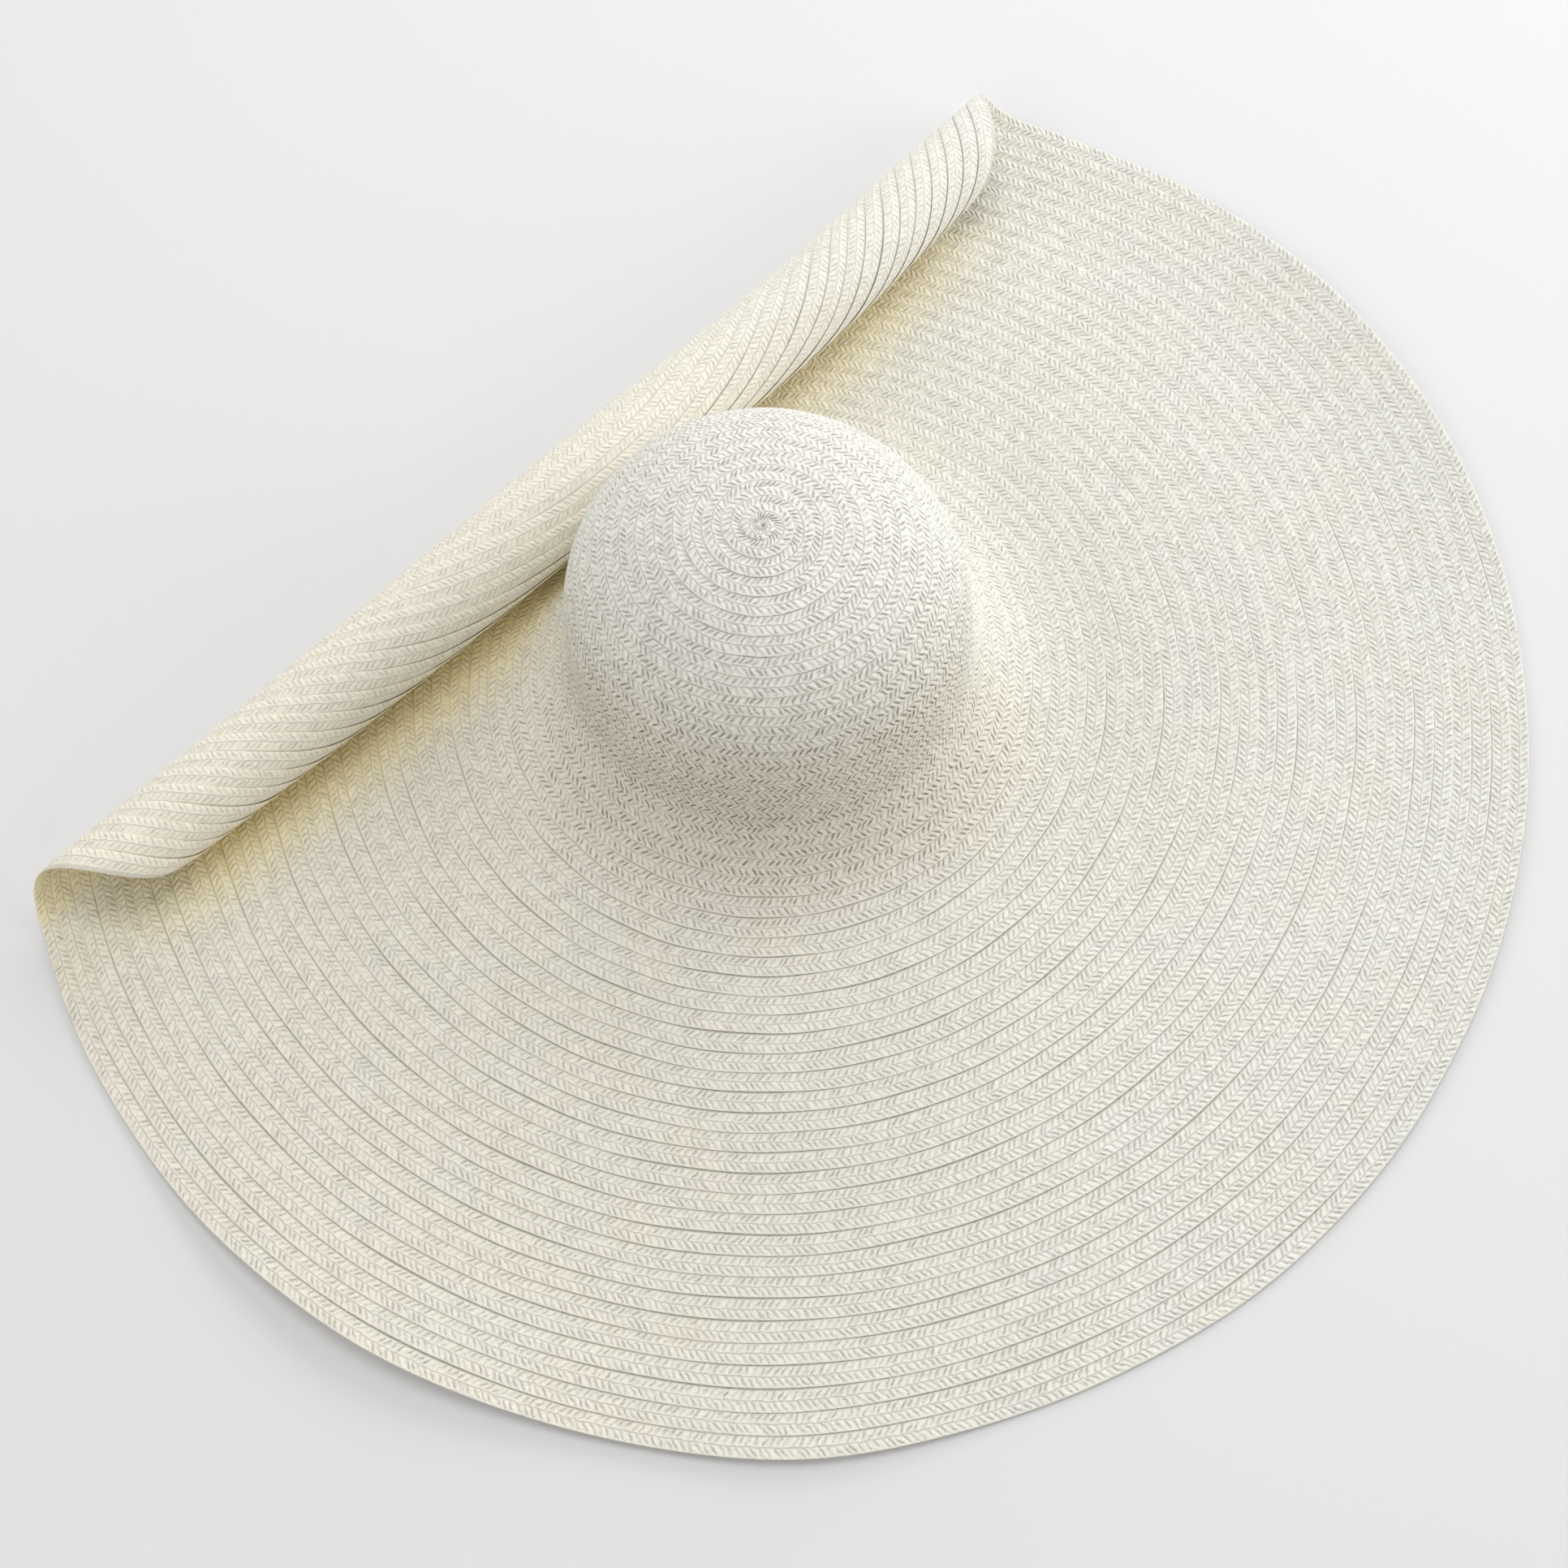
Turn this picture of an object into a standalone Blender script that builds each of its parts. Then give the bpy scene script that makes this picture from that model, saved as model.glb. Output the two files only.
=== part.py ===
"""A wide brim straw sun hat, lying on a flat surface with one side of its brim rolled up.

Two pieces of sewn straw braid: a round crown, and a brim whose collar sits inside the crown's
last round. The brim is first modelled as a flat ring with a flared collar. Then its rim is lifted
in waves, and the part beyond a straight fold line is wound round a slim cone-ended roll.

Metres, +Z up. X runs along the roll, which is on the +Y side. The underside of the brim rests on
z = 0, and the origin is under the middle of the whole hat.
"""

import math
from collections import namedtuple

import bmesh
import bpy
from mathutils import Vector

# Driving sizes, in metres
BRIM_RADIUS = 0.348
CROWN_RADIUS = 0.0902
CROWN_HEIGHT = 0.132
TIP_RISE = 0.0015
TIP_REACH = 0.026
DOME_FOOT = 0.051
CROWN_EDGE_HEIGHT = 0.031
FLARE_REACH = 0.065
WALL = 0.0018
LAP = 0.008
SEAM_GAP = 0.0003
LAP_RUN = 0.012

# The roll, and its clearances to the crown and between its turns
ROLL_RADIUS = 0.0248
CROWN_TO_ROLL = 0.0090
TURN_GAP = 0.0014
PRESS_MARGIN = 0.008

# The lifted rim
WAVE_LIFT = 0.010
WAVE_REACH = 0.080
WAVE_FADE = 0.060

# Shares: the crown's fullness, its oval and its lean from foot to tip
DOME_POWER = 2.6
OVAL = 0.014
LEAN = Vector((0.013, 0.015))

# How finely the curves are stepped
SIDES = 60
DOME_STEPS = 13
FLARE_STEPS = 7
FLAT_STEPS = 4
RIM_STEPS = 4
TURN_STEPS = 16

# Along is a share of half the roll's length. Radius and shift are shares of ROLL_RADIUS, and the
# shift carries the fold line away from the crown.
RollSection = namedtuple("RollSection", "along radius shift")
ROLL_SECTIONS = (
    RollSection(along=-1.00, radius=0.80, shift=0.40),
    RollSection(along=-0.70, radius=0.89, shift=0.20),
    RollSection(along=-0.35, radius=0.97, shift=0.04),
    RollSection(along=0.00, radius=1.00, shift=-0.02),
    RollSection(along=0.45, radius=0.97, shift=-0.10),
    RollSection(along=0.72, radius=0.92, shift=0.10),
    RollSection(along=1.00, radius=0.82, shift=0.34),
)

# Azimuth is counted from +X, in degrees. Lift and spread, upwards and outwards at the very edge,
# are shares of WAVE_LIFT.
Wave = namedtuple("Wave", "azimuth half_width lift spread")
WAVES = (
    Wave(azimuth=-164, half_width=26, lift=0.80, spread=0.10),
    Wave(azimuth=-134, half_width=18, lift=0.35, spread=0.35),
    Wave(azimuth=-60, half_width=44, lift=0.25, spread=-0.30),
    Wave(azimuth=-12, half_width=34, lift=0.75, spread=0.00),
)

TURN_PITCH = WALL + TURN_GAP
FLARE_HEIGHT = DOME_FOOT - WALL
FOLD_Y = CROWN_RADIUS * (1 + OVAL) + CROWN_TO_ROLL + ROLL_RADIUS
ROLL_HALF_LENGTH = math.sqrt(BRIM_RADIUS**2 - FOLD_Y**2)


def eased(value, start, end):
    """0 before start, 1 after end, and a smooth step between them."""
    share = min(max((value - start) / (end - start), 0.0), 1.0)
    return share * share * (3 - 2 * share)


def read_table(rows, where, column):
    """A column of a table at a place between its rows, as a smooth curve through them."""
    places = [row[0] for row in rows]
    values = [getattr(row, column) for row in rows]
    where = min(max(where, places[0]), places[-1])
    last = len(rows) - 1
    i = min(max(k for k in range(last + 1) if places[k] <= where), last - 1)

    def slope(k):
        low, high = max(k - 1, 0), min(k + 1, last)
        return (values[high] - values[low]) / (places[high] - places[low])

    span = places[i + 1] - places[i]
    t = (where - places[i]) / span
    start = values[i] * (1 + 2 * t) + slope(i) * span * t
    end = values[i + 1] * (3 - 2 * t) - slope(i + 1) * span * (1 - t)
    return start * (1 - t) ** 2 + end * t**2


def dome_point(share):
    """The crown's outer face from its tip at share 0 to the foot of the dome at share 1."""
    angle = share * math.pi / 2
    radius = CROWN_RADIUS * math.sin(angle) ** (2 / DOME_POWER)
    rise = CROWN_HEIGHT - TIP_RISE - DOME_FOOT
    height = DOME_FOOT + rise * math.cos(angle) ** (2 / DOME_POWER)
    return Vector((radius, height + TIP_RISE * (1 - eased(radius, 0, TIP_REACH))))


def flare_point(share):
    """The outer face from the dome's foot, upright at share 0, out to the flat brim at share 1."""
    return Vector(
        (
            CROWN_RADIUS + FLARE_REACH * share**2,
            WALL + FLARE_HEIGHT * (1 - share) ** 2,
        )
    )


def flare_normal(share):
    """The flare's outward normal, in the plane of the profile."""
    return Vector((FLARE_HEIGHT * (1 - share), FLARE_REACH * share)).normalized()


def flare_share_at(height):
    return 1 - math.sqrt((height - WALL) / FLARE_HEIGHT)


def offset(points, normals, depth):
    return [point - normal * depth for point, normal in zip(points, normals)]


def spun(outline, name):
    """A closed outline in the XZ plane, turned once round the Z axis."""
    bm = bmesh.new()
    corners = [bm.verts.new((point.x, 0, point.y)) for point in outline]
    edges = [bm.edges.new(pair) for pair in zip(corners, corners[1:] + corners[:1])]
    bmesh.ops.spin(
        bm,
        geom=corners + edges,
        axis=(0, 0, 1),
        cent=(0, 0, 0),
        angle=math.tau,
        steps=SIDES,
        use_merge=True,
    )
    bmesh.ops.remove_doubles(bm, verts=bm.verts, dist=1e-6)
    bmesh.ops.dissolve_degenerate(bm, edges=bm.edges, dist=1e-7)
    bmesh.ops.recalc_face_normals(bm, faces=bm.faces)
    print(f"{name}: {len(bm.faces)} faces spun")
    return bm


def leaned(point):
    """The crown is a little longer towards the roll, and leans."""
    share = min(max((point.z - WALL) / FLARE_HEIGHT, 0.0), 1.0)
    lean = LEAN * point.z
    return Vector(
        (
            point.x * (1 - OVAL * share) + lean.x,
            point.y * (1 + OVAL * share) + lean.y,
            point.z,
        )
    )


def roll_at(x):
    """The roll's outer radius and its fold line's Y, at a place along it."""
    along = x / ROLL_HALF_LENGTH
    radius = ROLL_RADIUS * read_table(ROLL_SECTIONS, along, "radius")
    shift = ROLL_RADIUS * read_table(ROLL_SECTIONS, along, "shift")
    return radius, FOLD_Y + shift


def pressed(point, above):
    """The roll lies on the foot of the flare and presses it flat. Above is 0 under the wall, 1 on it."""
    share = eased(point.y, CROWN_RADIUS, FOLD_Y - PRESS_MARGIN)
    flat = WALL * above
    return Vector((point.x, point.y, point.z * (1 - share) + flat * share))


def lifted(point):
    """The rim's waves, which die away inwards and towards the roll."""
    radius = math.hypot(point.x, point.y)
    reach = (radius - (BRIM_RADIUS - WAVE_REACH)) / WAVE_REACH
    if reach <= 0:
        return point
    azimuth = math.degrees(math.atan2(point.y, point.x))
    lift = 0.0
    spread = 0.0
    for wave in WAVES:
        away = abs((azimuth - wave.azimuth + 180) % 360 - 180)
        if away < wave.half_width:
            share = math.cos(math.pi / 2 * away / wave.half_width) ** 2
            lift += wave.lift * share
            spread += wave.spread * share
    fade = 1 - eased(point.y, FOLD_Y - WAVE_FADE, FOLD_Y - PRESS_MARGIN)
    size = WAVE_LIFT * fade * reach**2
    outwards = Vector((point.x, point.y, 0)) / radius
    return point + outwards * spread * size + Vector((0, 0, lift * size))


def rolled(point):
    """A point of the flat brim beyond the fold line, carried round the roll's inward spiral."""
    radius, fold = roll_at(point.x)
    beyond = point.y - fold
    if beyond <= 0:
        return point
    shrink = TURN_PITCH / math.tau
    turn = (radius - math.sqrt(radius**2 - 2 * shrink * beyond)) / shrink
    arm = radius - shrink * turn - point.z
    return Vector((point.x, fold + arm * math.sin(turn), radius - arm * math.cos(turn)))


def make_crown():
    """The dome, down to the edge of its last round."""
    edge_share = flare_share_at(CROWN_EDGE_HEIGHT)
    lap_share = flare_share_at(CROWN_EDGE_HEIGHT + LAP)
    dome = [dome_point(k / DOME_STEPS) for k in range(DOME_STEPS)]
    outer = dome + [flare_point(0), flare_point(lap_share), flare_point(edge_share)]
    normals = [Vector((0, 1))]
    for before, after in zip(outer, outer[2:]):
        run = (after - before).normalized()
        normals.append(Vector((-run.y, run.x)))
    normals.append(flare_normal(edge_share))
    inner = offset(outer, normals, WALL)
    bm = spun(outer + inner[::-1], "crown")
    for vert in bm.verts:
        vert.co = leaned(vert.co)
    return bm


def brim_outline():
    """The brim's closed section before it is waved and rolled: its outer face and its underside."""
    edge_share = flare_share_at(CROWN_EDGE_HEIGHT)
    lap_share = flare_share_at(CROWN_EDGE_HEIGHT + LAP)
    step = (1 - edge_share) / FLARE_STEPS
    shares = [lap_share] + [edge_share + k * step for k in range(FLARE_STEPS + 1)]
    points = [flare_point(share) for share in shares]
    normals = [flare_normal(share) for share in shares]
    edge = flare_point(edge_share)
    tuck = [(WALL + SEAM_GAP) * (1 - eased((p - edge).length, 0, LAP_RUN)) for p in points]
    tuck[0] = WALL + SEAM_GAP
    top = [p - n * t for p, n, t in zip(points, normals, tuck)]
    under = [p - n * (t + WALL) for p, n, t in zip(points, normals, tuck)]
    flat_start = CROWN_RADIUS + FLARE_REACH
    flat_end = BRIM_RADIUS - WAVE_REACH
    radii = [flat_start + (flat_end - flat_start) * k / FLAT_STEPS for k in range(1, FLAT_STEPS + 1)]
    radii += [flat_end + WAVE_REACH * k / RIM_STEPS for k in range(1, RIM_STEPS + 1)]
    top += [Vector((radius, WALL)) for radius in radii]
    under += [Vector((radius, 0)) for radius in radii]
    return top, under


def cut_strips(bm):
    """Cuts parallel to the fold line, so that the flap bends round the roll in even steps."""
    pitch = math.tau * ROLL_RADIUS / TURN_STEPS
    y = FOLD_Y - PRESS_MARGIN
    while y < BRIM_RADIUS:
        geometry = bm.verts[:] + bm.edges[:] + bm.faces[:]
        bmesh.ops.bisect_plane(bm, geom=geometry, plane_co=(0, y, 0), plane_no=(0, 1, 0), dist=1e-5)
        y += pitch


def make_brim():
    """The collar, the flare, the flat ring with its waves, and the roll."""
    top, under = brim_outline()
    bm = spun(top + under[::-1], "brim")
    cut_strips(bm)
    bmesh.ops.triangulate(bm, faces=bm.faces)
    above = bm.verts.layers.float.new("above")
    middle = WALL / 2
    for vert in bm.verts:
        vert[above] = 1.0 if vert.co.z > middle else 0.0
    for vert in bm.verts:
        point = leaned(vert.co)
        point = pressed(point, vert[above])
        vert.co = rolled(lifted(point))
    return bm


def straw(name, color, roughness):
    material = bpy.data.materials.new(name)
    material.use_nodes = True
    shader = material.node_tree.nodes["Principled BSDF"]
    shader.inputs["Base Color"].default_value = (*color, 1.0)
    shader.inputs["Roughness"].default_value = roughness
    shader.inputs["Metallic"].default_value = 0.0
    material.diffuse_color = (*color, 1.0)
    return material


def add_piece(name, bm, material):
    mesh = bpy.data.meshes.new(name)
    bm.to_mesh(mesh)
    bm.free()
    mesh.materials.append(material)
    mesh.shade_smooth()
    mesh.set_sharp_from_angle(angle=math.radians(40))
    piece = bpy.data.objects.new(name, mesh)
    bpy.context.scene.collection.objects.link(piece)
    return piece


def stand_over_origin(pieces):
    """Moves the whole hat so that the middle of its footprint is the origin."""
    corners = [vert.co for piece in pieces for vert in piece.data.vertices]
    low = Vector([min(corner[axis] for corner in corners) for axis in range(3)])
    high = Vector([max(corner[axis] for corner in corners) for axis in range(3)])
    shift = Vector((-(low.x + high.x) / 2, -(low.y + high.y) / 2, -low.z))
    for piece in pieces:
        for vert in piece.data.vertices:
            vert.co += shift
    print(f"the crown's axis is at x {shift.x:.4f}, y {shift.y:.4f} m")
    print(f"the hat measures {high.x - low.x:.3f} x {high.y - low.y:.3f} x {high.z - low.z:.3f} m")


def main():
    for obj in list(bpy.data.objects):
        bpy.data.objects.remove(obj, do_unlink=True)
    crown = add_piece("crown", make_crown(), straw("crown straw", (0.78, 0.76, 0.67), 0.75))
    brim = add_piece("brim", make_brim(), straw("brim straw", (0.80, 0.77, 0.65), 0.75))
    stand_over_origin([crown, brim])


main()
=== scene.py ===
# %% [markdown]
# # A wide brim straw sun hat
# The hat lies on a pale surface, with one side of its brim rolled up beside the crown.
# A real one is a single flat plait of paper straw, about 10 mm wide and 50 m long. It starts at
# the tip of the crown and is sewn round and round, each round lapping over the next.
# A smooth hat with straw drawn on it would be quicker, but its edge and its steps would look flat.
# So this lesson makes the hat as it is sewn: one ribbon is laid along a spiral, over the shape of
# the hat, and only the plait itself is relief and colour in a material.

# %% The frame
import math

import bmesh
import bpy
import numpy as np
from mathutils import Matrix, Vector


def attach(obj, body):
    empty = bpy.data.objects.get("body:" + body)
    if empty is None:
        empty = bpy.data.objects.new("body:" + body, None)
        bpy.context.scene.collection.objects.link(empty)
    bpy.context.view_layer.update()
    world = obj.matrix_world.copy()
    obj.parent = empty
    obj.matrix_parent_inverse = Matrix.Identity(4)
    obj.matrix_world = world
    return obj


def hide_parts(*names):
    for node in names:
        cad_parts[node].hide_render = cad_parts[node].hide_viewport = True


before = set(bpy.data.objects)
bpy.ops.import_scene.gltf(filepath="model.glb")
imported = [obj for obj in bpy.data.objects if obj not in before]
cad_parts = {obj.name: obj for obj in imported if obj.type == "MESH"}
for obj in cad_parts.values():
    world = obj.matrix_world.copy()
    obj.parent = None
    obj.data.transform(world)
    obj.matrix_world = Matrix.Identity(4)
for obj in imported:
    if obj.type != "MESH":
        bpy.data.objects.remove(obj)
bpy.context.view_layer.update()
print("nodes of the frame:", sorted(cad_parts))

# %% [markdown]
# ## The sizes of the hat
# The frame is the hat as two smooth walls. The braid has to lie in the same place. It could be
# pulled onto those walls with a Shrinkwrap modifier, but the roll is wound closer than such a tool
# can tell apart. So these are the same sizes and the same curves, in metres. Z is up, and X runs
# along the roll.

# %% Sizes
BRIM_RADIUS = 0.348
CROWN_RADIUS = 0.0902
CROWN_HEIGHT = 0.132
TIP_RISE = 0.0015
TIP_REACH = 0.026
DOME_FOOT = 0.051
CROWN_EDGE_HEIGHT = 0.031
FLARE_REACH = 0.065
WALL = 0.0018
ROLL_RADIUS = 0.0248
CROWN_TO_ROLL = 0.0090
TURN_GAP = 0.0014
PRESS_MARGIN = 0.008
WAVE_LIFT = 0.010
WAVE_REACH = 0.080
WAVE_FADE = 0.060
DOME_POWER = 2.6
OVAL = 0.014
LEAN = (0.013, 0.015)
CROWN_AXIS = (0.0001, 0.0968)
FLARE_HEIGHT = DOME_FOOT - WALL
FOLD_Y = CROWN_RADIUS * (1 + OVAL) + CROWN_TO_ROLL + ROLL_RADIUS
ROLL_HALF_LENGTH = math.sqrt(BRIM_RADIUS**2 - FOLD_Y**2)
TURN_PITCH = WALL + TURN_GAP

# Along the roll, as shares of half its length: its radius and the shift of its fold line, as
# shares of ROLL_RADIUS
ROLL_SECTIONS = (
    (-1.00, 0.80, 0.40),
    (-0.70, 0.89, 0.20),
    (-0.35, 0.97, 0.04),
    (0.00, 1.00, -0.02),
    (0.45, 0.97, -0.10),
    (0.72, 0.92, 0.10),
    (1.00, 0.82, 0.34),
)
# The rim's waves: azimuth and half width in degrees, then lift and spread as shares of WAVE_LIFT
WAVES = (
    (-164, 26, 0.80, 0.10),
    (-134, 18, 0.35, 0.35),
    (-60, 44, 0.25, -0.30),
    (-12, 34, 0.75, 0.00),
)
print(f"the fold line is {FOLD_Y:.4f} m from the crown's axis")


# %% [markdown]
# ## The profile of the hat
# Cut through the middle, the hat's upper face is one line: down the dome, out along the flare and
# over the flat brim. It could be drawn as a curve object. Here it is worked out, because the braid
# is laid by the length walked along that line: the line is measured once, in small steps, and read
# back by its length.

# %% The profile, read by its length
DOME_STEPS = 4000
FLARE_STEPS = 2000
FLAT_STEPS = 400
PAST_EDGE = 0.02


def eased(value, start, end):
    """0 before start, 1 after end, and a smooth step between them."""
    share = np.clip((value - start) / (end - start), 0.0, 1.0)
    return share * share * (3 - 2 * share)


def dome_line():
    angle = np.linspace(0, 1, DOME_STEPS, endpoint=False) * math.pi / 2
    radius = CROWN_RADIUS * np.sin(angle) ** (2 / DOME_POWER)
    rise = CROWN_HEIGHT - TIP_RISE - DOME_FOOT
    height = DOME_FOOT + rise * np.cos(angle) ** (2 / DOME_POWER)
    return radius, height + TIP_RISE * (1 - eased(radius, 0, TIP_REACH))


def flare_line():
    share = np.linspace(0, 1, FLARE_STEPS)
    return CROWN_RADIUS + FLARE_REACH * share**2, WALL + FLARE_HEIGHT * (1 - share) ** 2


def measure_profile():
    """Radius, height and length at each step of the upper face, a little past the brim's edge."""
    dome, flare = dome_line(), flare_line()
    flat = np.linspace(CROWN_RADIUS + FLARE_REACH, BRIM_RADIUS + PAST_EDGE, FLAT_STEPS)[1:]
    radius = np.concatenate([dome[0], flare[0], flat])
    height = np.concatenate([dome[1], flare[1], np.full(len(flat), WALL)])
    length = np.concatenate([[0], np.cumsum(np.hypot(np.diff(radius), np.diff(height)))])
    return radius, height, length


PROFILE_RADIUS, PROFILE_HEIGHT, PROFILE_LENGTH = measure_profile()
EDGE_LENGTH = float(np.interp(BRIM_RADIUS, PROFILE_RADIUS, PROFILE_LENGTH))
crown_part = PROFILE_HEIGHT > CROWN_EDGE_HEIGHT
CROWN_EDGE_LENGTH = float(PROFILE_LENGTH[crown_part].max())
print(f"from the tip: crown's edge {CROWN_EDGE_LENGTH:.4f} m, brim's edge {EDGE_LENGTH:.4f} m")


# %% [markdown]
# ## From the flat pattern to the lying hat
# A point of the braid is first known by its length from the tip, its azimuth and its height
# through the wall. Small moves then carry it to its place: the crown leans, the roll presses the
# flare flat, and the rim lifts in waves. Bend modifiers could do this too, but they would act on
# the piece as a whole, and the braid has to know its own length and turn at every point.

# %% The place of a point
SLOPE_REACH = 0.0006
TINY = 1e-9


def radius_at(length):
    return np.interp(length, PROFILE_LENGTH, PROFILE_RADIUS)


def height_at(length):
    return np.interp(length, PROFILE_LENGTH, PROFILE_HEIGHT)


def upright(length, azimuth, through):
    """A point on the round hat. Through is 0 on the wall's lower face and WALL on its upper."""
    before, after = np.maximum(length - SLOPE_REACH, 0), length + SLOPE_REACH
    run = radius_at(after) - radius_at(before)
    rise = height_at(after) - height_at(before)
    step = np.hypot(run, rise)
    radius = radius_at(length) - rise / step * (through - WALL)
    height = height_at(length) + run / step * (through - WALL)
    return radius * np.cos(azimuth), radius * np.sin(azimuth), height


def leaned(x, y, z):
    share = np.clip((z - WALL) / FLARE_HEIGHT, 0.0, 1.0)
    return x * (1 - OVAL * share) + LEAN[0] * z, y * (1 + OVAL * share) + LEAN[1] * z, z


def pressed(x, y, z, through):
    share = eased(y, CROWN_RADIUS, FOLD_Y - PRESS_MARGIN)
    share = share * (1 - eased(z, CROWN_EDGE_HEIGHT, DOME_FOOT))
    return x, y, z * (1 - share) + through * share


def lifted(x, y, z):
    radius = np.hypot(x, y)
    reach = np.maximum((radius - (BRIM_RADIUS - WAVE_REACH)) / WAVE_REACH, 0)
    azimuth = np.degrees(np.arctan2(y, x))
    lift, spread = np.zeros_like(x), np.zeros_like(x)
    for where, half_width, up, out in WAVES:
        away = np.abs((azimuth - where + 180) % 360 - 180)
        share = np.where(away < half_width, np.cos(math.pi / 2 * away / half_width) ** 2, 0)
        lift = lift + up * share
        spread = spread + out * share
    size = WAVE_LIFT * reach**2 * (1 - eased(y, FOLD_Y - WAVE_FADE, FOLD_Y - PRESS_MARGIN))
    out = spread * size / np.maximum(radius, TINY)
    return x + x * out, y + y * out, z + lift * size


print("the rim lifts in", len(WAVES), "waves")


# %% [markdown]
# ## The roll
# What lies beyond the fold line is wound round a roll that gets thinner turn by turn, by the wall
# and a small gap, so that no turn cuts through another. A cylinder with a hat's edge beside it
# would look the same from afar, but here the rounds of braid run on into the roll, as they do when
# a brim is rolled up. The roll swells and narrows along its length, read from a short table.

# %% The roll
ROLL_READINGS = 401


def read_rows(rows, where, column):
    """A smooth curve through one column of a table."""
    places = [row[0] for row in rows]
    values = [row[column] for row in rows]
    last = len(rows) - 1
    where = min(max(where, places[0]), places[-1])
    i = min(max(k for k in range(last + 1) if places[k] <= where), last - 1)

    def slope(k):
        low, high = max(k - 1, 0), min(k + 1, last)
        return (values[high] - values[low]) / (places[high] - places[low])

    span = places[i + 1] - places[i]
    t = (where - places[i]) / span
    start = values[i] * (1 + 2 * t) + slope(i) * span * t
    end = values[i + 1] * (3 - 2 * t) - slope(i + 1) * span * (1 - t)
    return start * (1 - t) ** 2 + end * t**2


ROLL_ALONG = np.linspace(-1, 1, ROLL_READINGS)
ROLL_RADII = np.array([ROLL_RADIUS * read_rows(ROLL_SECTIONS, a, 1) for a in ROLL_ALONG])
ROLL_FOLDS = np.array([FOLD_Y + ROLL_RADIUS * read_rows(ROLL_SECTIONS, a, 2) for a in ROLL_ALONG])


def roll_at(x):
    along = x / ROLL_HALF_LENGTH
    return np.interp(along, ROLL_ALONG, ROLL_RADII), np.interp(along, ROLL_ALONG, ROLL_FOLDS)


def rolled(x, y, z):
    """Winds what lies beyond the fold line round the roll. Also gives the turn, in radians."""
    radius, fold = roll_at(x)
    beyond = np.maximum(y - fold, 0)
    shrink = TURN_PITCH / math.tau
    turn = (radius - np.sqrt(np.maximum(radius**2 - 2 * shrink * beyond, 0))) / shrink
    arm = radius - shrink * turn - z
    flat = y <= fold
    wound_y = fold + arm * np.sin(turn)
    wound_z = radius - arm * np.cos(turn)
    return x, np.where(flat, y, wound_y), np.where(flat, z, wound_z), np.where(flat, 0, turn)


def lying(length, azimuth, through):
    """The place on the finished hat, the turn round the roll, and the brim's own y."""
    x, y, z = upright(length, azimuth, through)
    x, y, z = leaned(x, y, z)
    x, y, z = pressed(x, y, z, through)
    flat_x, flat_y, z = lifted(x, y, z)
    x, y, z, turn = rolled(flat_x, flat_y, z)
    return x + CROWN_AXIS[0], y + CROWN_AXIS[1], z, turn, flat_y


print(f"the roll is {2 * ROLL_HALF_LENGTH:.3f} m long, and its radius {ROLL_RADII.max():.4f} m")


# %% [markdown]
# ## The spiral
# Rings inside each other would be simpler than a spiral, but then no round would lead into the
# next, and the tip would be a bull's eye. The sewer turns the hat, so the braid runs clockwise
# seen from above, and each round is sewn a little less than its own width farther out. The rounds
# on the crown are a shade closer than those on the brim. The braid ends inside the roll, where
# nobody sees it, and the last rounds are eased in or out a few millimetres so that the edge of the
# brim comes out round.

# %% The spiral's laws
BRAID_WIDTH = 0.0105
BRAID_THICKNESS = 0.00080
CROWN_PITCH = 0.00834
BRIM_PITCH = 0.0087
CROWN_ROUNDS = 20
FIRST_LIP = 0.0068
START_LIP = 0.003
COUNT_AZIMUTH = math.radians(-131.9)
END_AZIMUTH = math.radians(90)
EASE_IN_REACH = 0.12
EASED_BY = 0.004
EASED_ROUND = 0.10
HAND_WANDER = 0.00016
# The waves of that wander: how many to a round, and the angle each starts at
WANDER_WAVES = ((5.3, 0.0), (11.7, 1.0), (23.1, 2.0))
STEADY_ROUNDS = 6


def lip_length(rounds):
    """How far from the tip the braid's outer edge, its lip, lies after so many rounds."""
    on_crown = FIRST_LIP + CROWN_PITCH * rounds
    first_on_brim = FIRST_LIP + CROWN_PITCH * CROWN_ROUNDS
    on_brim = first_on_brim + BRIM_PITCH * (rounds - CROWN_ROUNDS)
    return np.where(rounds < CROWN_ROUNDS, on_crown, on_brim)


def azimuth_of(rounds):
    return COUNT_AZIMUTH - math.tau * rounds


def hand_wander(rounds):
    """The small drift in and out of a seam that is guided by hand."""
    turned = math.tau * rounds
    waves = sum(np.sin(count * turned + start) for count, start in WANDER_WAVES)
    return HAND_WANDER * waves * eased(rounds, 0, STEADY_ROUNDS)


def rounds_to(length):
    """The rounds after which the lip is so far from the tip, on the brim."""
    return CROWN_ROUNDS + (length - FIRST_LIP - CROWN_PITCH * CROWN_ROUNDS) / BRIM_PITCH


START_ROUNDS = -(FIRST_LIP - START_LIP) / CROWN_PITCH
CROWN_END_ROUNDS = rounds_to(CROWN_EDGE_LENGTH)
EDGE_ROUNDS = rounds_to(EDGE_LENGTH)
END_SHARE = (END_AZIMUTH - COUNT_AZIMUTH) / math.tau
END_ROUNDS = round(EDGE_ROUNDS) + 1 - END_SHARE
print(f"rounds: {START_ROUNDS:.2f} to {CROWN_END_ROUNDS:.2f} on the crown, then to {EDGE_ROUNDS:.2f}")


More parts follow.
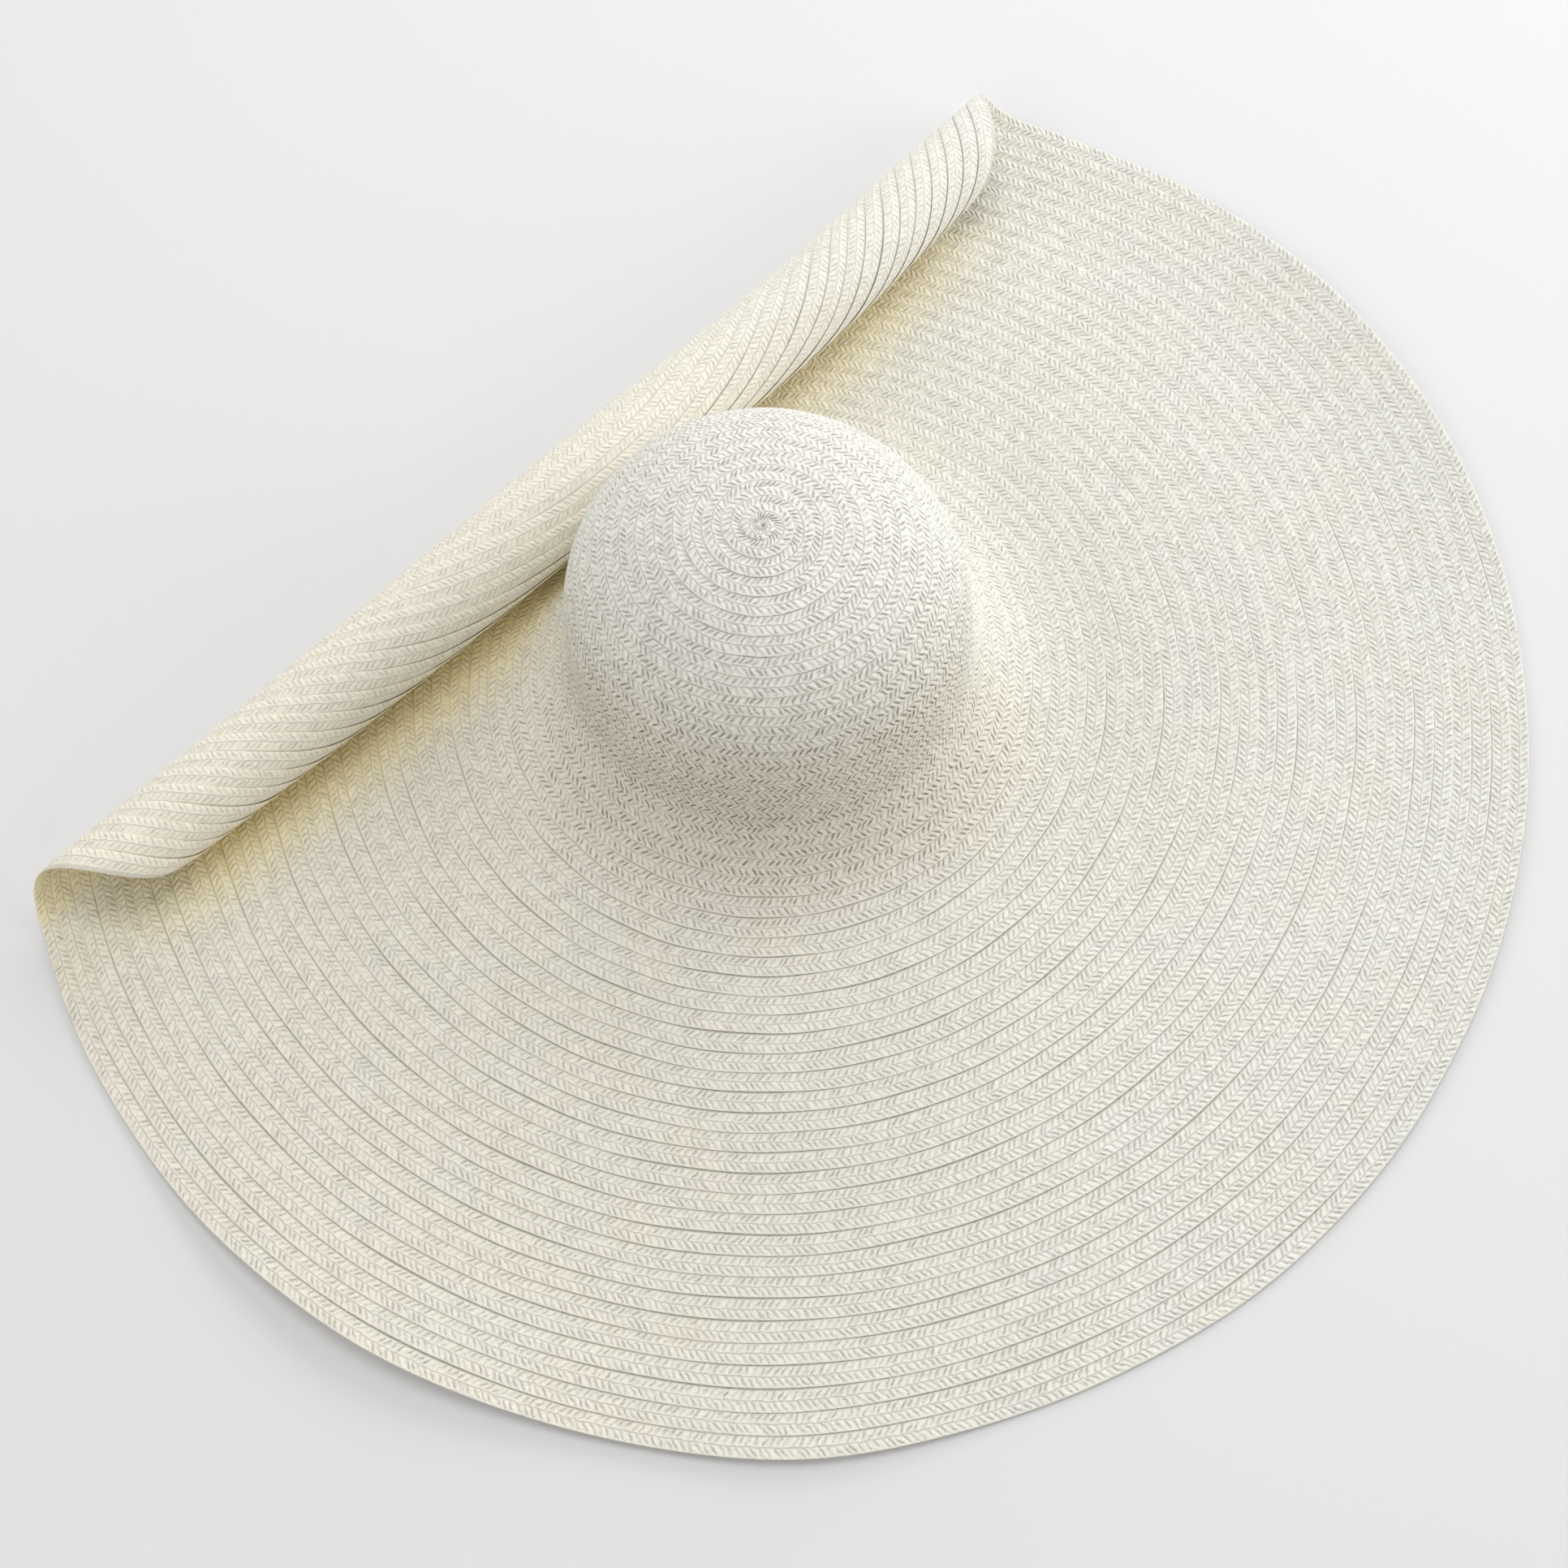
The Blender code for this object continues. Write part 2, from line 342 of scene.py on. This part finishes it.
def ease_edge(length, rounds):
    """Moves the last rounds in or out, so that the outermost lip lies on the brim's edge."""
    last = (rounds - END_ROUNDS) % 1.0
    share = eased(np.minimum(last, 1 - last), 0, EASED_ROUND)
    middle = EDGE_LENGTH - lip_length(END_ROUNDS - 0.5)
    change = middle + BRIM_PITCH * (0.5 - last) * share
    return length + change * eased(length, EDGE_LENGTH - EASE_IN_REACH, EDGE_LENGTH - EASED_BY)


# %% [markdown]
# ## The braid's own section
# Cut across, the braid is a thin strip with rounded edges and a slightly raised middle. A flat
# ribbon with a Solidify modifier would have square edges. Each round's lip lies on top of the next
# round's inner edge, so the strip lies at a slant, low at its inner edge and high at its lip. That
# slant makes the small steps that run round the whole hat. Both margins are thinner where another
# round lies on them, which leaves a small groove at each step.

# %% The section, point by point
# Across the braid, from -1 at its inner edge to 1 at its lip, and 1 for its upper face, -1 for its
# lower face, 0 for the very edges
BRAID_SECTION = (
    (-1.00, 0),
    (-0.94, 1),
    (-0.68, 1),
    (-0.58, 1),
    (-0.45, 1),
    (0.10, 1),
    (0.60, 1),
    (0.88, 1),
    (0.96, 1),
    (1.00, 0),
    (0.94, -1),
    (0.68, -1),
    (0.55, -1),
    (0.00, -1),
    (-0.60, -1),
    (-0.94, -1),
)
EDGE_ROUNDNESS = 6
DOME_OF_BRAID = 0.00012
MARGIN_DIP = 0.00012
MARGIN = (0.45, 0.68)
VERY_EDGE = 0.99
TIP_HOLE = 0.00015
LIFTED_BY = 0.00005


def braid_points(rounds, across, side):
    """The length from the tip and the height through the wall of points across the braid."""
    lip = lip_length(rounds)
    width = np.minimum(BRAID_WIDTH, lip - TIP_HOLE)
    sideways = across * width / 2
    middle = lip - width / 2 + hand_wander(rounds)
    half = BRAID_THICKNESS / 2 * np.sqrt(np.maximum(1 - np.abs(across) ** EDGE_ROUNDNESS, 0))
    half = half + DOME_OF_BRAID * (1 - across**2)
    half = half - MARGIN_DIP * eased(-across * side, *MARGIN) * (np.abs(across) < VERY_EDGE)
    slant = BRAID_THICKNESS * sideways / BRIM_PITCH
    through = WALL / 2 + slant + side * half + LIFTED_BY
    return middle + sideways, through, sideways


print(len(BRAID_SECTION), "points round the braid's section")


# %% [markdown]
# ## The steps along the braid
# The ribbon is as fine along its length as its bends ask for. Even steps would either waste faces
# on the flat brim or show corners at the tip, so they are shorter near the tip, where no step
# turns more than a thirtieth of a round, and on the roll.

# %% The steps along the braid
FLAT_STEP = 0.0052
ROLL_STEP = 0.0030
MOST_TURN = 1 / 30
LEAST_RADIUS = 0.001


def braid_steps(first, last):
    """The rounds counted at each step from first to last."""
    steps = [first]
    while steps[-1] < last:
        rounds = steps[-1]
        radius = float(radius_at(lip_length(rounds)))
        y = radius * math.sin(azimuth_of(rounds))
        step = ROLL_STEP if y > FOLD_Y - PRESS_MARGIN else FLAT_STEP
        steps.append(rounds + min(step / (math.tau * max(radius, LEAST_RADIUS)), MOST_TURN))
    count = len(steps) - 1
    shift = (last - steps[-1]) / count
    return np.array([value + shift * k for k, value in enumerate(steps)])


print("steps in the first round:", len(braid_steps(START_ROUNDS, START_ROUNDS + 1)) - 1)


# %% [markdown]
# ## Where light comes through straw
# Beside the roll, and inside it, most of the light has passed through or bounced off other straw,
# and turns yellow. Light that is traced through a wall of straw would show this, at a great cost
# in time. Here each point is told how deep it lies in such a place, and the material tints it.
# Lengths are in metres, turns in radians, and the two ends are shares of half the roll's length.

# %% The measure of that light
CLEFT_REACH, CLEFT_UNDER = 0.028, 0.006
CLEFT_GLOW, CLEFT_LOSS, CLEFT_LOSS_REACH = 0.85, 0.35, 0.1
CLEFT_HEIGHTS = (0.004, 0.020)
RIGHT_END = (0.55, 0.90)
LEFT_END, LEFT_END_LOSS = (0.72, 0.96), 0.9
INSIDE_GLOW, INSIDE_TURN = 0.75, 0.8
INSIDE_LOSS, INSIDE_LOSS_REACH = 0.85, (0.12, 0.26)
UNDERSIDE_TURNS = (4.6, 6.0)


def tinted(turn, side, flat_y, x, z):
    """How much light reaches a point only through straw, beside and inside the roll, 0 to 1."""
    radius, fold = roll_at(x)
    share = x / ROLL_HALF_LENGTH
    ends = 1 - eased(share, *RIGHT_END) - LEFT_END_LOSS * eased(-share, *LEFT_END)
    near = eased(flat_y, fold - radius - CLEFT_REACH, fold - radius + CLEFT_UNDER)
    beside = near * (CLEFT_GLOW - CLEFT_LOSS * eased(x, 0, CLEFT_LOSS_REACH))
    under_roll = beside * ends * (side >= 0) * (1 - eased(z, *CLEFT_HEIGHTS))
    kept = 1 - INSIDE_LOSS * eased(x, *INSIDE_LOSS_REACH)
    inside = INSIDE_GLOW * eased(turn, 0, INSIDE_TURN) * kept
    wound = np.where(side > 0, np.maximum(inside, under_roll), eased(turn, *UNDERSIDE_TURNS))
    return np.where(turn > 0, wound, under_roll)


print(f"the glow beside the roll reaches {CLEFT_REACH} m out over the brim")


# %% [markdown]
# ## Laying the braid
# A flat grid is the ribbon: its columns are steps along the braid and its rows go once round the
# section. Moving each of its points to its place on the spiral gives a tube. Its first and last
# row lie on each other, so they are merged, its two ends are closed with sharp rims, and its faces
# are made to point out. A curve with a bevel could also make a long strip, but it would twist at
# the tip, and its points couldn't carry the measures that the material reads: the length along the
# braid, the place across it, its upper or lower face, the glow, and the roll's outer side.

# %% The ribbon
MERGE_DISTANCE = 2e-6
SLIVER = 1e-6
OUTSIDE_TURNS = (0.2, 1.2)


def flat_ribbon(columns, rows):
    """A flat grid, with the column and the row of each of its points."""
    bm = bmesh.new()
    bmesh.ops.create_grid(bm, x_segments=columns, y_segments=rows, size=1)
    grid = np.array([vert.co[:2] for vert in bm.verts])
    shares = (grid - grid.min(axis=0)) / np.ptp(grid, axis=0)
    column, row = np.rint(shares * (columns, rows)).astype(int).T
    return bm, column, row


def close_ribbon(bm):
    """Merges the rows that meet, and closes both ends."""
    bmesh.ops.remove_doubles(bm, verts=bm.verts, dist=MERGE_DISTANCE)
    bmesh.ops.dissolve_degenerate(bm, edges=bm.edges, dist=SLIVER)
    ends = [edge for edge in bm.edges if edge.is_boundary]
    bmesh.ops.holes_fill(bm, edges=ends, sides=0)
    for edge in ends:
        edge.smooth = False
    bmesh.ops.recalc_face_normals(bm, faces=bm.faces)


def lay_braid(name, first, last):
    """The braid from one count of rounds to another, as a closed mesh."""
    rounds_at = braid_steps(first, last)
    bm, column, row = flat_ribbon(len(rounds_at) - 1, len(BRAID_SECTION))
    section = np.array(BRAID_SECTION + BRAID_SECTION[:1])
    rounds, side = rounds_at[column], section[row, 1]
    length, through, sideways = braid_points(rounds, section[row, 0], side)
    length = ease_edge(length, rounds)
    x, y, z, turn, flat_y = lying(length, azimuth_of(rounds), through)
    walked = math.tau * radius_at(lip_length(rounds_at))
    walked = np.concatenate([[0], np.cumsum(np.diff(rounds_at) * walked[1:])])
    measures = {
        "along": walked[column],
        "across": sideways,
        "cleft": tinted(turn, side, flat_y, x, z),
        "face": side,
        "outside": eased(turn, *OUTSIDE_TURNS) * (side < 0),
    }
    layers = {key: bm.verts.layers.float.new(key) for key in measures}
    for k, vert in enumerate(bm.verts):
        vert.co = (x[k], y[k], z[k])
        for key, values in measures.items():
            vert[layers[key]] = values[k]
    close_ribbon(bm)
    print(f"{name}: {walked[-1]:.1f} m of braid, {len(bm.faces)} faces")
    return bm


# %% [markdown]
# ## The three lengths of braid
# One mesh for the whole braid would be very heavy, so it is laid in three lengths: one over the
# crown and two over the brim. Each is a mesh in its own object, at the origin and unturned, and
# smooth shaded but for the rims of its cut ends. The cut between the two on the brim is put where
# a round passes inside the roll, so that it doesn't show.

# %% From a bmesh to a piece
CUT_ROUND = 39


def add_piece(name, bm, slot, *replaced):
    mesh = bpy.data.meshes.new(name)
    bm.to_mesh(mesh)
    bm.free()
    mesh.shade_smooth()
    piece = bpy.data.objects.new(name, mesh)
    bpy.context.scene.collection.objects.link(piece)
    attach(piece, "root")
    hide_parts(*replaced)
    return piece


CUT_ROUNDS = CUT_ROUND - END_SHARE
crown_mesh = lay_braid("crown braid", START_ROUNDS, CROWN_END_ROUNDS)
crown_braid = add_piece("crown_braid", crown_mesh, "crown_straw", "crown")
inner_mesh = lay_braid("inner brim braid", CROWN_END_ROUNDS, CUT_ROUNDS)
inner_brim_braid = add_piece("inner_brim_braid", inner_mesh, "brim_straw", "brim")
outer_mesh = lay_braid("outer brim braid", CUT_ROUNDS, END_ROUNDS)
outer_brim_braid = add_piece("outer_brim_braid", outer_mesh, "brim_straw", "brim")


# %% [markdown]
# ## Writing a material as sums
# A material is a web of small nodes, and could be drawn by hand in the Shader Editor. To keep it
# readable as a script, one class wraps an output of a node, so that `a * 2 + b` adds the Math
# nodes for it, and one method adds any other node by its type.

# %% The shader's arithmetic
class Wire:
    """An output of a node. A sign between two of them, or a number, adds a Math node."""

    def __init__(self, recipe, socket):
        self.recipe = recipe
        self.socket = socket

    def math(self, operation, *values):
        settings = {"operation": operation}
        return self.recipe.add("ShaderNodeMath", settings, dict(enumerate(values)))[0]

    def __add__(self, other):
        return self.math("ADD", self, other)

    def __sub__(self, other):
        return self.math("SUBTRACT", self, other)

    def __mul__(self, other):
        return self.math("MULTIPLY", self, other)

    def __truediv__(self, other):
        return self.math("DIVIDE", self, other)

    def __pow__(self, other):
        return self.math("POWER", self, other)

    def __radd__(self, other):
        return self.math("ADD", other, self)

    def __rsub__(self, other):
        return self.math("SUBTRACT", other, self)

    def __rmul__(self, other):
        return self.math("MULTIPLY", other, self)

    def size(self):
        return self.math("ABSOLUTE", self)

    def whole(self):
        return self.math("FLOOR", self)

    def part(self):
        return self.math("FRACT", self)

    def sine(self):
        return self.math("SINE", self)

    def between(self, low, high):
        """0 at low and 1 at high, with a smooth step."""
        settings = {"interpolation_type": "SMOOTHSTEP"}
        values = {"Value": self, "From Min": low, "From Max": high}
        return self.recipe.add("ShaderNodeMapRange", settings, values)["Result"]


class Added:
    """A node that was added: its outputs, by name or number, are wires."""

    def __init__(self, recipe, node):
        self.recipe = recipe
        self.node = node

    def __getitem__(self, key):
        return Wire(self.recipe, self.node.outputs[key])


# %% A material's recipe
class Recipe:
    """A material's nodes."""

    def __init__(self, name):
        self.material = bpy.data.materials.new(name)
        self.material.use_nodes = True
        self.tree = self.material.node_tree
        self.shader = self.tree.nodes["Principled BSDF"]

    def add(self, kind, settings=None, values=None):
        node = self.tree.nodes.new(kind)
        for key, setting in (settings or {}).items():
            setattr(node, key, setting)
        for key, value in (values or {}).items():
            self.plug(value, node.inputs[key])
        return Added(self, node)

    def plug(self, value, socket):
        if isinstance(value, Wire):
            self.tree.links.new(value.socket, socket)
        else:
            socket.default_value = value

    def mixed(self, share, first, second):
        """A colour between two colours."""
        settings = {"data_type": "RGBA", "clamp_factor": True}
        return self.add("ShaderNodeMix", settings, {0: share, 6: first, 7: second})[2]

    def attribute(self, name):
        return self.add("ShaderNodeAttribute", {"attribute_name": name})["Fac"]

    def noise(self, place, scale, detail, roughness=0.5):
        values = {"Vector": place, "Scale": scale, "Detail": detail, "Roughness": roughness}
        return self.add("ShaderNodeTexNoise", None, values)["Fac"]


# %% [markdown]
# ## Plaited paper straw
# The braid is a flat plait. Its strands cross over at the middle, so it shows two rows of short
# floats, one row leaning one way and the other row back, like a row of arrow heads. The floats are
# rounded, so between two of them lies a short dent, deepest at the middle of the row.
# Every strand could be modelled, but 50 m of them would be millions of faces. Which of the two
# rows stands out depends on where the light comes from, so the dents aren't only drawn: they are
# relief, worked out from the braid's own measures along and across.

# %% The plait's floats
FLOAT_PITCH = 0.0031
FLOAT_LEAN = 0.80
CROSSING = 0.0009
CROSSOVER = 0.0003
ROW_WIDTH = 0.0043
WANDER_SCALE = 210.0
DRIFT_SCALE, DRIFT = 300.0, 0.0014
DENT_STARTS, DENT_ENDS = (0.0, 0.35), (0.65, 1.0)
DENT_LEAST = 0.15
# Two numbers that tell the floats apart, along a row and from one row to the other
FLOAT_COUNT, ROW_COUNT = 3.1, 7.7


def plait(recipe, place, along, across, face):
    """The plait's height, from 0 to 1, and a number for each float."""
    wander = recipe.noise(place, WANDER_SCALE, 1.0) - 0.5
    drift = (recipe.noise(place, DRIFT_SCALE, 1.0) - 0.5) * DRIFT
    away = across - face * CROSSING + drift
    outer = away.between(-CROSSOVER, CROSSOVER)
    slant = away.size() * (FLOAT_LEAN / FLOAT_PITCH)
    count = along / FLOAT_PITCH + slant + outer * 0.5 + wander
    ridge = (count.part() * math.pi).sine()
    reach = away.size() / ROW_WIDTH
    middle = reach.between(*DENT_STARTS) * (1 - reach.between(*DENT_ENDS))
    height = 1 - (1 - ridge) * (middle * (1 - DENT_LEAST) + DENT_LEAST)
    return height, count.whole() * FLOAT_COUNT + outer * ROW_COUNT


print(f"a float every {FLOAT_PITCH} m along each row")


# %% [markdown]
# ## The straw's colour
# The straw is pale where it bulges, with a little chalky grain. Painted shade makes it darker in the
# dents between the floats, and darkest in the thin seam between two rounds. Painted warm light makes
# it a shade warmer towards the back and left of the hat, and painted shade makes it darker and
# warmer at the foot of the crown's front. The underside, which is the outside of the roll, is
# paler, which is painted light on the roll. Beside and inside the roll, yellow light is painted in
# too. A picture of straw could give all this at once, but it would stretch on the spiral and stay
# the same under any light. So each of these is a mask of its own, and the colours are mixed by
# them, one over another.

# %% The masks and colours of the straw
SEAM_ACROSS = BRIM_PITCH - BRAID_WIDTH / 2
SEAM_WIDTH = 0.0007
SEAM_STARTS = (0.02, 0.30)
# The colours of painted shade in the dents between the floats and in the seams
GROOVE_SHADE_COLOR = (0.36, 0.32, 0.22, 1)
SEAM_SHADE_COLOR = (0.30, 0.30, 0.23, 1)
PALE_CROWN = (0.89, 0.89, 0.84, 1)
DEEP_CROWN = (0.97, 0.935, 0.83, 1)
# The colour of painted shade at the foot of the crown's front
FOOT_SHADE_COLOR = (0.85, 0.805, 0.70, 1)
PALE_BRIM = (0.86, 0.855, 0.79, 1)
DEEP_BRIM = (0.89, 0.835, 0.70, 1)
# The outside of the roll, paler: painted light on the roll
PALE_LIT_ROLL = (0.90, 0.89, 0.85, 1)
DEEP_LIT_ROLL = (0.95, 0.90, 0.76, 1)
# The colour of painted yellow light beside and inside the roll
CLEFT_LIGHT_COLOR = (0.93, 0.81, 0.46, 1)
FRONT = (-0.7154, -0.6987)
FOOT_REACH, FOOT_HEIGHTS, FOOT_FRONT = (0.095, 0.150), (0.075, 0.130), (-0.03, 0.07)
# Where painted warm light runs across the hat, towards its back and left
WARM_LIGHT_REACH = (-0.38, 0.42)
PATCHY = (0.35, 0.65)


def crown_front_shade(place):
    """1 at the foot of the crown's front, darker and warmer with painted shade, and 0 elsewhere."""
    x, y = place["X"] - CROWN_AXIS[0], place["Y"] - CROWN_AXIS[1]
    near = 1 - ((x * x + y * y) ** 0.5).between(*FOOT_REACH)
    low = 1 - place["Z"].between(*FOOT_HEIGHTS)
    return near * low * (x * FRONT[0] + y * FRONT[1]).between(*FOOT_FRONT)


# %% The straw's material
def straw(name, pale, deep, groove_shade_share, seam_shade_share, depth):
    """Pale and deep are its colours, the shares are how dark its painted shade gets in dents and
    seams, depth its relief's.
    """
    recipe = Recipe(name)
    keys = ("along", "across", "face", "cleft", "outside")
    along, across, face, straw_light, outside = [recipe.attribute(key) for key in keys]
    where = recipe.add("ShaderNodeTexCoord")["Object"]
    place = recipe.add("ShaderNodeSeparateXYZ", None, {0: where})

    # The plait, a shade for each float, the straw's fibres, and two slower changes
    height, number = plait(recipe, where, along, across, face)
    white = {"noise_dimensions": "1D"}
    shade = recipe.add("ShaderNodeTexWhiteNoise", white, {"W": number})[0]
    fibre = recipe.noise(where, 1000.0, 3.0, 0.6)
    patch = recipe.noise(where, 26.0, 2.0).between(*PATCHY)
    dent_depth = recipe.noise(where, 260.0, 1.0).between(*PATCHY)

    # The masks
    groove = 1 - (height + (fibre - 0.5) * 0.7).between(0.10, 0.90)
    seam = (across * face * -1).between(SEAM_ACROSS - SEAM_WIDTH, SEAM_ACROSS)
    quiet = 1 - outside * 0.3
    foot_shade = crown_front_shade(place)
    warm_light_side = (place["Y"] - place["X"]).between(*WARM_LIGHT_REACH)

    # The colours, one over another
    # Random patches, and painted warm light towards the back and left of the hat
    color = recipe.mixed(patch * 0.2 + warm_light_side * 0.6, pale, deep)
    # Painted shade, darker and warmer, at the foot of the crown's front
    color = recipe.mixed(foot_shade, color, FOOT_SHADE_COLOR)
    # The outside of the roll is paler, which is painted light, with the same painted warm light
    lit_roll = recipe.mixed(warm_light_side, PALE_LIT_ROLL, DEEP_LIT_ROLL)
    color = recipe.mixed(outside, color, lit_roll)
    # Painted shade in the dents between the floats, stronger at the foot of the crown's front
    groove_shade = groove * (0.3 + dent_depth * 0.7) * quiet * (groove_shade_share + foot_shade * 0.8)
    color = recipe.mixed(groove_shade, color, GROOVE_SHADE_COLOR)
    # Painted shade in the thin seam where each round's lip lies over the next
    seam_shade = seam * (0.5 + groove * 0.8) * quiet * seam_shade_share * along.between(*SEAM_STARTS)
    color = recipe.mixed(seam_shade, color, SEAM_SHADE_COLOR)
    # Painted yellow light beside and inside the roll, where light has come through or off other straw
    color = recipe.mixed(straw_light, color, CLEFT_LIGHT_COLOR)
    light = 0.97 + shade * 0.06 + (fibre - 0.5) * 0.26
    scaled = {0: color, "Scale": light}
    color = recipe.add("ShaderNodeVectorMath", {"operation": "SCALE"}, scaled)[0]

    # The relief
    relief = height * (0.5 + dent_depth * 0.5) * quiet + shade * 0.10 + (fibre - 0.5) * 0.45
    values = {"Height": relief, "Strength": 1.0, "Distance": depth}
    bump = recipe.add("ShaderNodeBump", None, values)
    recipe.plug(color, recipe.shader.inputs["Base Color"])
    recipe.plug(0.58 + groove * 0.2, recipe.shader.inputs["Roughness"])
    recipe.plug(bump["Normal"], recipe.shader.inputs["Normal"])
    recipe.shader.inputs["Specular IOR Level"].default_value = 0.35
    print(f"{name}: {len(recipe.tree.nodes)} nodes")
    return recipe.material


crown_straw = straw("crown straw", PALE_CROWN, DEEP_CROWN, 0.30, 1.0, 0.0011)
brim_straw = straw("brim straw", PALE_BRIM, DEEP_BRIM, 0.27, 0.85, 0.0008)
crown_braid.data.materials.append(crown_straw)
inner_brim_braid.data.materials.append(brim_straw)
outer_brim_braid.data.materials.append(brim_straw)


# %% [markdown]
# ## The surface it lies on
# A plain pale table top, wide enough to fill the view, with a very faint mottle. A backdrop that
# curves up behind the hat isn't needed, because the camera looks down and never sees an edge.

# %% The table top
FLOOR_HALF_WIDTH = 4
FLOOR_BELOW = 0.0001
FLOOR_COLORS = ((0.78, 0.78, 0.79, 1), (0.82, 0.82, 0.82, 1))


def add_floor():
    bm = bmesh.new()
    bmesh.ops.create_grid(bm, x_segments=4, y_segments=4, size=FLOOR_HALF_WIDTH)
    bmesh.ops.translate(bm, verts=bm.verts, vec=(0, 0, -FLOOR_BELOW))
    mesh = bpy.data.meshes.new("floor")
    bm.to_mesh(mesh)
    bm.free()
    floor = bpy.data.objects.new("floor", mesh)
    bpy.context.scene.collection.objects.link(floor)
    recipe = Recipe("pale table top")
    place = recipe.add("ShaderNodeTexCoord")["Object"]
    mottle = recipe.noise(place, 1.4, 3.0)
    color = recipe.mixed(mottle, *FLOOR_COLORS)
    recipe.plug(color, recipe.shader.inputs["Base Color"])
    recipe.shader.inputs["Roughness"].default_value = 0.7
    mesh.materials.append(recipe.material)


add_floor()
print(f"a table top {2 * FLOOR_HALF_WIDTH} m wide")

# %% [markdown]
# ## Light
# The light of a pale studio comes from everywhere, but more from the right and from behind the hat
# than from the front. A photographed room wrapped round the scene could give such light. Seven
# large soft lamps and a pale sky do it too, and each of them can be changed by itself. They are
# placed by the bearing that they have in the picture: bearing 0 is its right, and 90 is its top.

# %% The lamps and the sky
PICTURE_RIGHT = Vector((0.7065, -0.7077, 0.0))
PICTURE_TOP = Vector((0.7154, 0.6987, 0.0))
LAMP_DISTANCE = 2.5
LAMP_SIZE = 1.6
WHITE = (1.0, 1.0, 1.0)
WARM_WHITE = (1.0, 0.98, 0.95)
SKY_STRENGTH = 0.30
# Name, bearing and elevation in degrees, power in watts, and colour
LAMPS = (
    ("right", 0, 20, 21.0, WHITE),
    ("right_back", 45, 20, 22.0, WHITE),
    ("back", 90, 20, 17.0, WHITE),
    ("above", 90, 75, 18.0, WHITE),
    ("left", 180, 35, 10.5, WHITE),
    ("left_front", 235, 35, 7.0, WARM_WHITE),
    ("front", 285, 20, 5.0, WARM_WHITE),
)


def add_lamp(name, bearing, elevation, power, color):
    lamp = bpy.data.lights.new(name, "AREA")
    lamp.shape = "DISK"
    lamp.size = LAMP_SIZE
    lamp.energy = power
    lamp.color = color
    holder = bpy.data.objects.new(name, lamp)
    bpy.context.scene.collection.objects.link(holder)
    bearing, elevation = math.radians(bearing), math.radians(elevation)
    toward = PICTURE_RIGHT * math.cos(bearing) + PICTURE_TOP * math.sin(bearing)
    toward = toward * math.cos(elevation) + Vector((0, 0, math.sin(elevation)))
    holder.location = toward * LAMP_DISTANCE
    holder.rotation_euler = (-toward).to_track_quat("-Z", "Y").to_euler()


for lamp in LAMPS:
    add_lamp(*lamp)
sky = bpy.data.worlds.new("pale room")
sky.use_nodes = True
background = sky.node_tree.nodes["Background"]
background.inputs["Color"].default_value = (*WHITE, 1)
background.inputs["Strength"].default_value = SKY_STRENGTH
bpy.context.scene.world = sky
bpy.context.scene.view_settings.view_transform = "Standard"
print(f"{len(LAMPS)} lamps")

# %% [markdown]
# ## The camera
# The camera looks steeply down at the hat, turned so that the roll runs up to the right. It could
# be aimed with a Track To constraint, but that would keep it level, and this one is tilted a
# little. So its place and its three directions are given as vectors.

# %% The camera
CAMERA_PLACE = Vector((-0.3030, -0.2446, 0.8968))
CAMERA_RIGHT = Vector((0.7063, -0.7075, -0.0246))
CAMERA_UP = Vector((0.6533, 0.6380, 0.4076))
CAMERA_FORWARD = Vector((0.2727, 0.3039, -0.9128))
SENSOR_WIDTH = 36
LENS = 49.565
camera = bpy.data.objects.new("camera", bpy.data.cameras.new("camera"))
bpy.context.scene.collection.objects.link(camera)
turned = Matrix((CAMERA_RIGHT, CAMERA_UP, -CAMERA_FORWARD)).transposed()
camera.matrix_world = Matrix.Translation(CAMERA_PLACE) @ turned.to_4x4()
camera.data.sensor_width = SENSOR_WIDTH
camera.data.lens = LENS
bpy.context.scene.camera = camera
print(f"a {LENS} mm lens, {CAMERA_PLACE.z} m above the table top")
